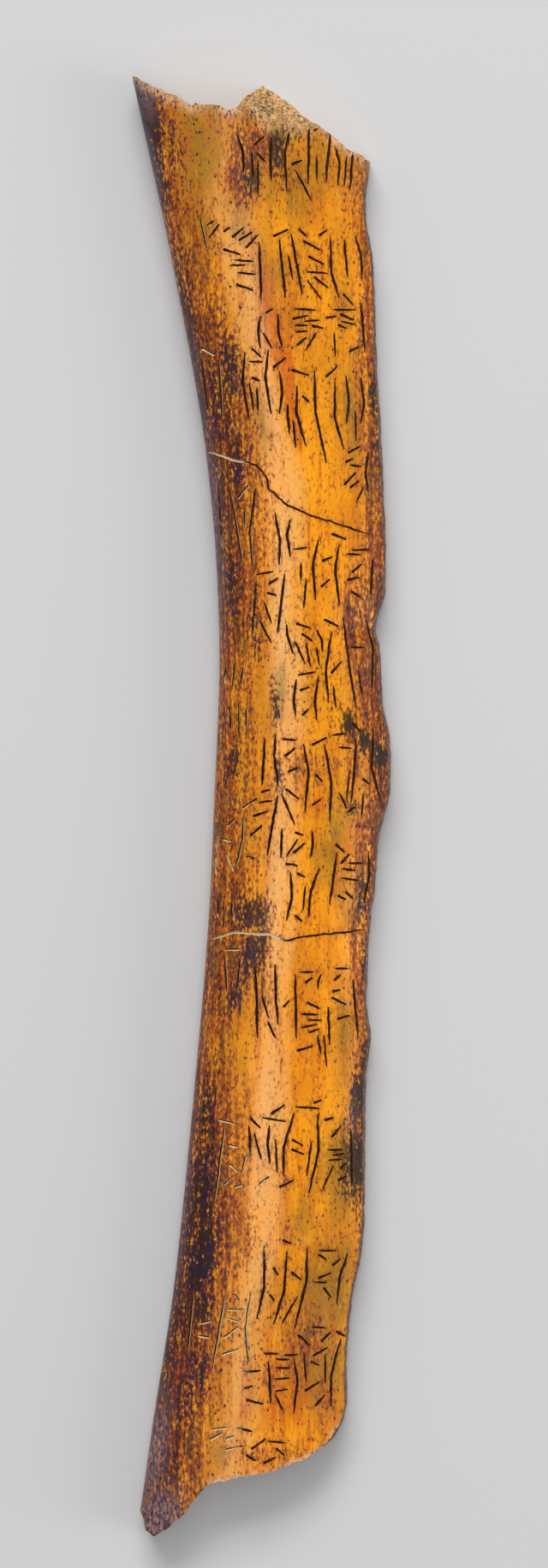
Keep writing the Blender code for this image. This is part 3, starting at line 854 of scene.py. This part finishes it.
draw = random.Random(LIGHT_SEED)
light_strokes = []
for place, size in zip(sign_places, sign_sizes):
    near = [other for other in taken if np.abs(other[:, 1] - place[1]).min() < size[0]]
    for _ in range(LIGHT_TRIES):
        stroke = set_in(place, light_stroke(draw, *size))
        points = sampled(stroke)
        clear = stands_clear(points, near, (STROKE_WIDTH + LIGHT_WIDTH) / 2 + LIGHT_GAP)
        if clear and short_of_break(points).all():
            taken.append(points)
            near.append(points)
            light_strokes.append(stroke)

face_below = BVHTree.FromObject(bone, bpy.context.evaluated_depsgraph_get())


def face_point(x, y):
    """Where the face lies at positions in plan, found by looking straight down on the bone."""
    border, broken = edges_at(y / LENGTH + 0.5)
    _, face = heights(y / LENGTH + 0.5, (x - border) / (broken - border))
    points = np.stack([x, y, face], axis=-1)
    for point in points:
        hit = face_below.ray_cast(Vector((point[0], point[1], 0.05)), Vector((0, 0, -1)))[0]
        if hit:
            point[2] = hit.z
    return points


def along_line(line, spacing):
    """Points at about even spacing along a plan line, and each one's share of its length."""
    line = np.array(line)
    reach = np.concatenate([[0.0], np.cumsum(np.linalg.norm(np.diff(line, axis=0), axis=1))])
    at = np.linspace(0.0, reach[-1], max(4, round(reach[-1] / spacing)) + 1)
    points = np.stack([np.interp(at, reach, line[:, 0]), np.interp(at, reach, line[:, 1])], axis=1)
    return points, at / reach[-1]


def v_cut(line, spacing, wobble, half_width, depth):
    """Points and faces of a bar with a diamond section, its lower half under the face."""
    plan, share = along_line(line, spacing)
    whole = short_of_break(plan)
    plan, share = plan[whole], share[whole]
    tangent = np.gradient(plan, axis=0)
    tangent /= np.linalg.norm(tangent, axis=1, keepdims=True)
    aside = np.stack([tangent[:, 1], -tangent[:, 0]], axis=1)
    place = np.stack([plan[:, 0], plan[:, 1], np.zeros(len(plan))], axis=1)
    sway = wobble * (ripple(place, 0.0015, 7.0) + 0.6 * ripple(place, 0.0006, 13.0))
    plan = plan + sway[:, None] * aside
    centre = face_point(plan[:, 0], plan[:, 1])
    slope_x = (face_point(plan[:, 0] + SLOPE_STEP, plan[:, 1])[:, 2] - centre[:, 2]) / SLOPE_STEP
    slope_y = (face_point(plan[:, 0], plan[:, 1] + SLOPE_STEP)[:, 2] - centre[:, 2]) / SLOPE_STEP
    up = np.stack([-slope_x, -slope_y, np.ones(len(plan))], axis=1)
    up /= np.linalg.norm(up, axis=1, keepdims=True)
    forward = np.gradient(centre, axis=0)
    side = np.cross(forward, up)
    side /= np.linalg.norm(side, axis=1, keepdims=True)
    uneven = 1 + CUT_UNEVENNESS * ripple(place, 0.0009, 23.0)
    reach = (half_width(share) * uneven)[:, None]
    rings = np.stack([
        centre - side * reach, centre - up * reach * depth,
        centre + side * reach, centre + up * (reach + CUTTER_RISE),
    ], axis=1).reshape(-1, 3)
    tips = np.stack([centre[0] - forward[0] * CUT_TIP, centre[-1] + forward[-1] * CUT_TIP])
    faces = []
    for k in range(len(plan) - 1):
        for corner in range(4):
            following = (corner + 1) % 4
            faces.append((4 * k + corner, 4 * k + following, 4 * k + 4 + following, 4 * k + 4 + corner))
    last, first_tip = 4 * (len(plan) - 1), 4 * len(plan)
    for corner in range(4):
        following = (corner + 1) % 4
        faces.append((following, corner, first_tip))
        faces.append((last + corner, last + following, first_tip + 1))
    return np.concatenate([rings, tips]), faces


def carve(bars, name, finish):
    """Cuts bars out of the bone, all at once."""
    cut(welded(mesh_object(name, *joined(bars), [finish]), 1e-8))


def tapered(width, at_tip, more, rate):
    """A function for the half width at shares of a cut's length, growing by more from both tips."""
    def half_width(share):
        return width / 2 * (at_tip + more * np.minimum(1.0, rate * np.minimum(share, 1 - share)))

    return half_width


def dash_width(share):
    return STROKE_WIDTH / 2 * (0.86 - 0.26 * share)


upright_width = tapered(STROKE_WIDTH, 0.42, 0.42, 5)
light_width = tapered(LIGHT_WIDTH, 0.60, 0.50, 5)
carve([
    v_cut(line, CUT_STEP, STROKE_WOBBLE, upright_width if len(line) > 2 else dash_width, CUT_DEPTH)
    for line in strokes
], "strokes", "knife cut")
carve([
    v_cut(line, CUT_STEP, LIGHT_WOBBLE, light_width, CUT_DEPTH) for line in light_strokes
], "light strokes", "knife cut")

# The ink came off the cuts near the border. Of each such cut, the wall that faces the upper end and the
# border is painted pale, a painted highlight where the soft box beyond the upper end lights it
tree, shader = tree_of("knife cut")
fine = grain_of(tree, 2600.0, 2200.0, Place=2.0)
normal = add(tree, "TexCoord").outputs["Normal"]
painted_lit_wall = add(tree, "VectorMath", {0: normal, 1: (-0.6, 0.8, 0.0)}, operation="DOT_PRODUCT")
painted_lit_wall = stepped(painted_lit_wall.outputs["Value"], -0.05, 0.30)
bare = times(stain_of("bare_cut", fine, 1.4, 0.3), painted_lit_wall)
shade = two_tone(fine, 0.38, 0.60, (26, 14, 8), (70, 36, 12))
# Pale where the ink came off, and there a painted highlight on the wall turned to the light
shade = mixed(times(bare, 0.90), shade, colour(230, 202, 154))
tree.links.new(shade, shader["Base Color"])
shader["Roughness"].default_value = 0.7
shader["Specular IOR Level"].default_value = 0.12


# The cracks.
# Two cracks run across the face from the rounded border and stop short of the broken side. They
# are thin, jagged and open only in the outer bone.

CRACK_WIDTH = 0.00036
CRACK_DEPTH = 1.5
CRACK_STEP = 0.00045
CRACK_WOBBLE = 0.00020

# Edges that bend by more than this stay sharp
SHARP_ANGLE = math.radians(38)

crack_width = tapered(CRACK_WIDTH, 0.45, 0.55, 12)
carve([
    v_cut(line, CRACK_STEP, CRACK_WOBBLE, crack_width, CRACK_DEPTH) for line in crack_lines
], "cracks", "crack")

tree, shader = tree_of("crack")
fine = grain_of(tree, 2600.0, 2200.0, Place=4.0)
bare = stain_of("bare_cut", fine, 1.6, 0.3)
shade = two_tone(fine, 0.38, 0.60, (40, 18, 10), (104, 54, 20))
shade = mixed(times(bare, 0.92), shade, colour(226, 208, 172))
tree.links.new(shade, shader["Base Color"])
shader["Roughness"].default_value = 0.75
shader["Specular IOR Level"].default_value = 0.15

bone.data.shade_smooth()
bone.data.set_sharp_from_angle(angle=SHARP_ANGLE)


# The stains.
# Long burial stained the bone: brown to purple-black in lengthwise streaks by the natural border,
# olive and red-brown in patches elsewhere. The polished middle of the face kept its honey colour.

# Along, how brown the bone is by the rounded border or the broken side, and how far that reaches
BROWN_BY_BORDER = (
    (0.00, 0.90, 0.34), (0.08, 0.92, 0.40), (0.15, 0.96, 0.38), (0.22, 1.02, 0.40),
    (0.28, 0.92, 0.38), (0.34, 0.66, 0.28), (0.40, 0.84, 0.38), (0.46, 0.72, 0.32),
    (0.54, 0.66, 0.30), (0.60, 0.66, 0.28), (0.66, 0.86, 0.34), (0.75, 0.98, 0.38),
    (0.80, 0.96, 0.34), (0.86, 0.70, 0.28), (0.91, 0.62, 0.24), (1.00, 0.86, 0.18),
)
BROWN_BY_SIDE = (
    (0.00, 0.10, 0.05), (0.15, 0.30, 0.08), (0.20, 0.40, 0.08), (0.28, 0.74, 0.16),
    (0.34, 0.56, 0.13), (0.40, 0.70, 0.16), (0.46, 0.80, 0.19), (0.52, 0.90, 0.20),
    (0.60, 0.86, 0.22), (0.70, 0.70, 0.18), (0.80, 0.74, 0.16), (0.86, 0.46, 0.12),
    (1.00, 0.60, 0.16),
)

# Patches: along and across, and reach along and across, all in hundredths of the strip's length
# or width, and then strength
PATCHES = {
    "brown": (
        (96, 0, 5, 5, 1.3), (79, 0, 8, 4, 1.1), (95, 46, 2.6, 16, 0.72), (92.5, 40, 2, 10, 0.8),
        (98.5, 25, 1.2, 20, 0.55), (37.5, 36, 2, 6, 0.55), (54.5, 84, 1.6, 14, 0.66),
        (6.2, 55, 1.2, 12, 0.45), (21.5, 62, 1.2, 10, 0.45), (74.5, 88, 3, 6, 0.45),
        (63, 82, 3.6, 9, 0.85), (47, 30, 2, 5, 0.45), (53, 50, 1.6, 34, 0.36),
        (14, 76, 3, 15, 0.62), (6, 74, 1.2, 10, 0.55), (20.5, 36, 4, 6, 0.4),
        (45.5, 84, 2.4, 7, 0.42), (85, 50, 2, 6, 0.35), (11, 58, 1, 6, 0.45), (50, 80, 1.2, 9, 0.4),
        (57, 34, 2, 5, 0.45), (53, 80, 1.4, 12, 0.55), (97, 36, 1.2, 14, 0.45), (40, 34, 2, 5, 0.6),
        (9, 30, 2, 5, 0.55), (30, 31, 3, 4, 0.45), (9.8, 88, 2.6, 10, 0.44), (14, 93, 2, 6, 0.4),
        (10, 22, 4.5, 11, 0.62), (84.8, 17, 1.8, 6, 0.6),
    ),
    "ink": (
        (16, 2, 12, 6, 0.72), (79, 2, 12, 6, 0.74), (97.5, 1, 3, 7, 1.5), (94, 0, 3.6, 6, 1.25),
        (2.4, 27.5, 1.4, 3, 1.05), (94.5, 12, 3, 4, 0.45), (86.5, 2, 3, 4, 0.65),
        (80, 20, 2.6, 8, 0.8), (77.5, 12, 3, 9, 0.72), (73.5, 17, 2, 8, 0.8), (69, 3, 6, 5, 0.95),
        (65.5, 8, 3, 6, 0.7), (62, 24, 2.4, 5, 0.55), (56, 4, 1.6, 3, 0.5),
        (53.2, 10, 1.2, 7, 0.62), (42.8, 27, 1.5, 11, 1.05), (40.2, 28, 2.2, 9, 1),
        (37.5, 20, 1.4, 5, 0.9), (29, 8, 3, 7, 0.75), (24, 9, 4, 10, 0.95), (19.5, 13, 3, 10, 1.1),
        (16, 17, 1.8, 6, 0.95), (11.5, 22, 2, 6, 0.6), (3, 8, 4, 10, 0.6), (30, 96.5, 2.4, 7, 1.05),
        (25.8, 95, 2.6, 10, 1.15), (33, 99, 2, 4, 0.9), (78, 98, 2.2, 5, 0.8),
        (74.8, 97, 1.2, 3, 0.65), (55.7, 77, 1.1, 6, 1.15), (54.5, 85, 1.1, 5, 1.1),
        (53.7, 93, 1.2, 6, 1.15), (94.8, 57.5, 2.2, 4, 0.92), (92.5, 45, 1.4, 5, 0.9),
        (95.8, 62, 0.7, 7, 0.85), (57.2, 35, 1.6, 2.6, 0.9), (44, 93, 2.2, 4, 0.85),
        (39.5, 98.5, 1.4, 3, 0.9), (52, 36, 1.4, 3, 0.8), (50, 79, 0.6, 4, 0.8),
        (41.4, 33, 1, 5, 0.85), (11, 17, 4, 6, 0.66), (21, 5, 3, 6, 0.8), (97.5, 50, 1, 5, 0.7),
    ),
    "olive": (
        (95, 20, 3.4, 10, 1.05), (90.5, 36, 3, 10, 0.75), (92.5, 60, 4, 14, 0.8),
        (89.5, 15, 4, 9, 0.95), (95, 32, 3, 10, 1), (96.5, 12, 2.4, 8, 0.8), (94, 76, 2.6, 10, 0.7),
        (88, 50, 3, 10, 0.6), (76, 33, 3, 5, 0.6), (94.5, 92, 1.5, 8, 0.7),
        (97.5, 40, 1.4, 16, 0.95), (96.2, 64, 1.6, 12, 0.8), (76, 85, 4.5, 7, 0.8),
        (84.5, 85, 3, 8, 0.5), (58, 38, 2.2, 4, 0.85), (49, 74, 2.2, 8, 0.75),
        (46.5, 68, 2.2, 10, 0.65), (34, 84, 4, 9, 0.7), (26, 84, 4, 12, 0.9), (16, 84, 4, 18, 1.2),
        (12, 82, 3, 18, 1.2), (6.3, 36, 1, 6, 0.8), (31.5, 24, 4, 8, 0.4), (22, 66, 2.5, 10, 0.55),
        (61, 84, 3, 8, 0.6), (44, 84, 2.5, 10, 0.6),
    ),
    "red": (
        (83, 46, 4, 5, 0.85), (80, 51, 3.5, 3.5, 1.1), (76.5, 52, 2.5, 3, 0.9),
        (69, 97, 6, 7, 0.85), (60, 97, 6, 9, 0.9), (53.5, 97, 3, 12, 1), (49.5, 95, 2, 8, 0.85),
        (10, 66, 3, 16, 0.85), (13, 62, 2, 10, 0.45), (20.5, 52, 2, 6, 0.45), (64, 28, 2, 5, 0.75),
        (61, 30, 1.4, 4, 0.7), (25, 28, 4, 6, 0.6), (50.5, 60, 1.4, 3, 0.6), (37, 92, 3, 6, 0.45),
        (15.5, 6, 6, 6, 0.55),
    ),
    "clean": (
        (72.5, 58, 4.5, 15, 1), (68, 62, 2.2, 14, 0.7), (60, 66, 2, 6, 0.7), (57, 68, 1.4, 8, 0.7),
        (45, 68, 1.6, 8, 0.7), (64, 32, 1.2, 5, 0.5), (64.5, 52, 2.6, 10, 0.85),
        (60.5, 52, 3, 10, 0.6), (61, 30, 1.6, 6, 0.6), (77.5, 66, 2.2, 10, 0.7),
        (85.5, 68, 1.8, 6, 0.7), (56, 58, 1.4, 10, 0.5), (45, 60, 2, 12, 0.45),
        (29.5, 62, 1.4, 10, 0.6), (9, 66, 1.6, 10, 0.7), (73.5, 33, 1.2, 5, 0.7),
        (29, 69, 1.6, 7, 0.8), (49, 69, 1.6, 6, 0.9), (21, 70, 1.4, 7, 0.6),
        (84.5, 66, 1.4, 8, 0.6), (59, 70, 2.6, 6, 0.6), (40, 70, 1.4, 8, 0.4),
    ),
    "grey": (
        (98.5, 4, 2.2, 5, 0.8), (94, 1, 4, 3, 0.55), (1.2, 10, 2.8, 13, 1.2), (6, 3, 5, 8, 0.9),
        (70, 2, 10, 5, 0.7), (80, 2, 4, 5, 0.5), (23, 1, 10, 3, 0.6), (29, 92, 2, 5, 0.5),
    ),
}

# A painted highlight, a pale band laid into the colour along the crest where the overhead soft box
# shines: along, share of the strip's width, reach across, strength
PAINTED_CREST_HIGHLIGHT = (
    (0.00, 0.46, 0.10, 0.20), (0.08, 0.46, 0.12, 0.55), (0.16, 0.45, 0.12, 0.45),
    (0.21, 0.45, 0.13, 0.90), (0.30, 0.46, 0.14, 1.00), (0.36, 0.44, 0.11, 0.60),
    (0.40, 0.45, 0.12, 0.95), (0.46, 0.43, 0.13, 1.00), (0.52, 0.41, 0.11, 0.55),
    (0.58, 0.42, 0.15, 1.10), (0.66, 0.41, 0.14, 1.00), (0.72, 0.42, 0.17, 1.00),
    (0.77, 0.37, 0.12, 0.70), (0.84, 0.32, 0.10, 0.70), (0.89, 0.30, 0.10, 0.95),
    (0.92, 0.29, 0.09, 0.70), (0.94, 0.28, 0.09, 0.25), (0.96, 0.26, 0.10, 0.00),
)

# The bone counts as at least this thick at the rims, where its face and back meet
RIM_THICKNESS = 0.0001

# How far each tint reaches, in metres: round the strokes, from the rims and round the hot rod
BY_STROKE_REACH = 0.0010
UPPER_RIM_REACH = 0.0020
LOWER_RIM_REACH = 0.0009
SIDE_RIM_REACH = 0.0010
SCORCH_REACH = 0.0052
SCORCH_OFFSET = (-0.002, 0.0, 0.004)

# The tongue is this share of the width, and the side's tint starts at this row of the face
TONGUE_ACROSS = 0.31
SIDE_RIM_FIRST_ROW = 60

# The breaks are old up to here, and the ink stains are greenish from here towards the broken side
OLD_BREAK_ALONG = 0.925
GREEN_INK_ACROSS = 0.30
BARE_CUT_ACROSS = 0.27
BARE_LOW_END_ALONG = 0.30
SECOND_CRACK_ALONG = 0.413

spots = np.empty(len(bone.data.vertices) * 3, np.float32)
bone.data.vertices.foreach_get("co", spots)
spots = spots.reshape(-1, 3).astype(float)
spot_along = spots[:, 1] / LENGTH + 0.5
spot_border, spot_broken = edges_at(spot_along)
spot_share = np.clip((spots[:, 0] - spot_border) / (spot_broken - spot_border), 0.0, 1.0)
spot_back, spot_face = heights(np.clip(spot_along, 0.0, 1.0), spot_share)


def note(name, values):
    """Keeps one value for each point of the bone, for the materials to read."""
    attribute = bone.data.attributes.new(name, "FLOAT", "POINT")
    attribute.data.foreach_set("value", np.asarray(values, np.float32))


def patches(kind):
    """How strong one kind of stain is at each point of the bone, from its patches."""
    found = np.zeros(len(spots))
    for along, across, reach_along, reach_across, strength in PATCHES[kind]:
        off_along = (100 * spot_along - along) / reach_along
        off_across = (100 * spot_share - across) / reach_across
        found = np.maximum(found, strength * np.exp(-(off_along**2) - off_across**2))
    return found


def brown_from(table, distance):
    """The brown by an edge: full up to a quarter of its reach, and gone at five quarters."""
    strength, reach = (straight_through(table, spot_along, column) for column in (1, 2))
    return strength * ease(1.25 - distance / reach)


by_border, by_side = brown_from(BROWN_BY_BORDER, spot_share), brown_from(BROWN_BY_SIDE, 1 - spot_share)
note("brown", np.maximum.reduce([by_border, by_side, patches("brown")]))
for kind in ("ink", "olive", "red", "grey", "clean"):
    note(kind, patches(kind))

# A painted highlight along the crest, kept in the colour of the face
painted_crest_highlight, reach, strength = (straight_through(PAINTED_CREST_HIGHLIGHT, spot_along, column) for column in (1, 2, 3))
note("painted_crest_highlight", strength * ease(1.6 - 1.6 * np.abs(spot_share - painted_crest_highlight) / reach))
height_share = (spots[:, 2] - spot_back) / np.maximum(spot_face - spot_back, RIM_THICKNESS)
note("ground", ease((0.45 - height_share) / 0.3) * ease((spot_share - 0.10) / 0.15))
note("old_break", 1 - ease((spot_along - OLD_BREAK_ALONG) / 0.02))
note("green", ease((spot_share - GREEN_INK_ACROSS) / 0.2))

# The ink came off the cuts near the border, and further in by the second crack and the lower end
by_crack = ease(1 - np.abs(spot_along - SECOND_CRACK_ALONG) / 0.02)
low_end = ease((BARE_LOW_END_ALONG - spot_along) / 0.06)
bare_across = BARE_CUT_ACROSS + 0.25 * by_crack + 0.24 * low_end
note("bare_cut", 1.1 * ease((bare_across - spot_share) / 0.12))


def nearness(places, reach):
    """From 1 at the nearest of the places to 0 beyond the reach."""
    tree = KDTree(len(places))
    for i, place in enumerate(places):
        tree.insert(place, i)
    tree.balance()
    return ease(1 - np.array([tree.find(spot)[2] for spot in spots]) / reach)


inked = np.concatenate(taken)
note("by_stroke", nearness(face_point(inked[:, 0], inked[:, 1]), BY_STROKE_REACH))
on_tongue = columns < TONGUE_ACROSS
upper_rim = np.concatenate([face_grid[-1], back_grid[-1]])
lower_rim = face_grid[0][~on_tongue]
side_rim = np.concatenate([
    face_grid[0][on_tongue], face_grid[SIDE_RIM_FIRST_ROW:, -1], back_grid[:, -1],
])
by_lower_rim = nearness(lower_rim, LOWER_RIM_REACH)
note("by_end", np.maximum(nearness(upper_rim, UPPER_RIM_REACH), by_lower_rim))
note("by_side", nearness(side_rim, SIDE_RIM_REACH))
rod_tips = np.stack([hollow_x, hollow_y, hollow_back], axis=1) + SCORCH_OFFSET
note("scorch", nearness(rod_tips, SCORCH_REACH))

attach(bone, "root")
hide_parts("bone")


# The table top, the light and the camera.
# A plain pale table under a large soft box, with the camera straight above the strip.

TABLE_REACH = 3
CAMERA_LENS = 135
CAMERA_PLACE = (0.0021, 0.0040, 0.968)
ROOM_BRIGHTNESS = 0.30

# Name, width, length, place and power. Each faces the middle of the strip
SOFT_BOXES = (
    ("overhead soft box", 0.34, 1.5, (-0.03, 0.15, 1.25), 3.5),
    ("soft box beyond the upper end", 1.6, 1.0, (-0.3, 1.8, 1.7), 40.0),
    ("soft box at the right", 0.8, 1.2, (1.6, -0.4, 0.55), 10.0),
)

bpy.data.materials.new("pale table").use_nodes = True
_, shader = tree_of("pale table")
shader["Base Color"].default_value = (0.66, 0.66, 0.67, 1.0)
shader["Roughness"].default_value = 0.9
corners = [(x * TABLE_REACH, y * TABLE_REACH, 0) for x, y in ((-1, -1), (1, -1), (1, 1), (-1, 1))]
floor = mesh_object("floor", corners, [(0, 1, 2, 3)], ["pale table"])

camera = in_scene("camera", bpy.data.cameras.new("camera"))
bpy.context.scene.camera = camera
camera.data.lens = CAMERA_LENS
camera.location = CAMERA_PLACE

for name, width, length, place, power in SOFT_BOXES:
    box = in_scene(name, bpy.data.lights.new(name, "AREA"))
    box.data.shape = "RECTANGLE"
    box.data.size = width
    box.data.size_y = length
    box.data.energy = power
    box.location = place
    box.rotation_euler = (-Vector(place)).to_track_quat("-Z", "Y").to_euler()

world = bpy.data.worlds.new("room")
bpy.context.scene.world = world
world.use_nodes = True
room = world.node_tree.nodes["Background"].inputs
room["Color"].default_value = (1.0, 1.0, 1.0, 1.0)
room["Strength"].default_value = ROOM_BRIGHTNESS

bpy.context.scene.view_settings.view_transform = "Standard"
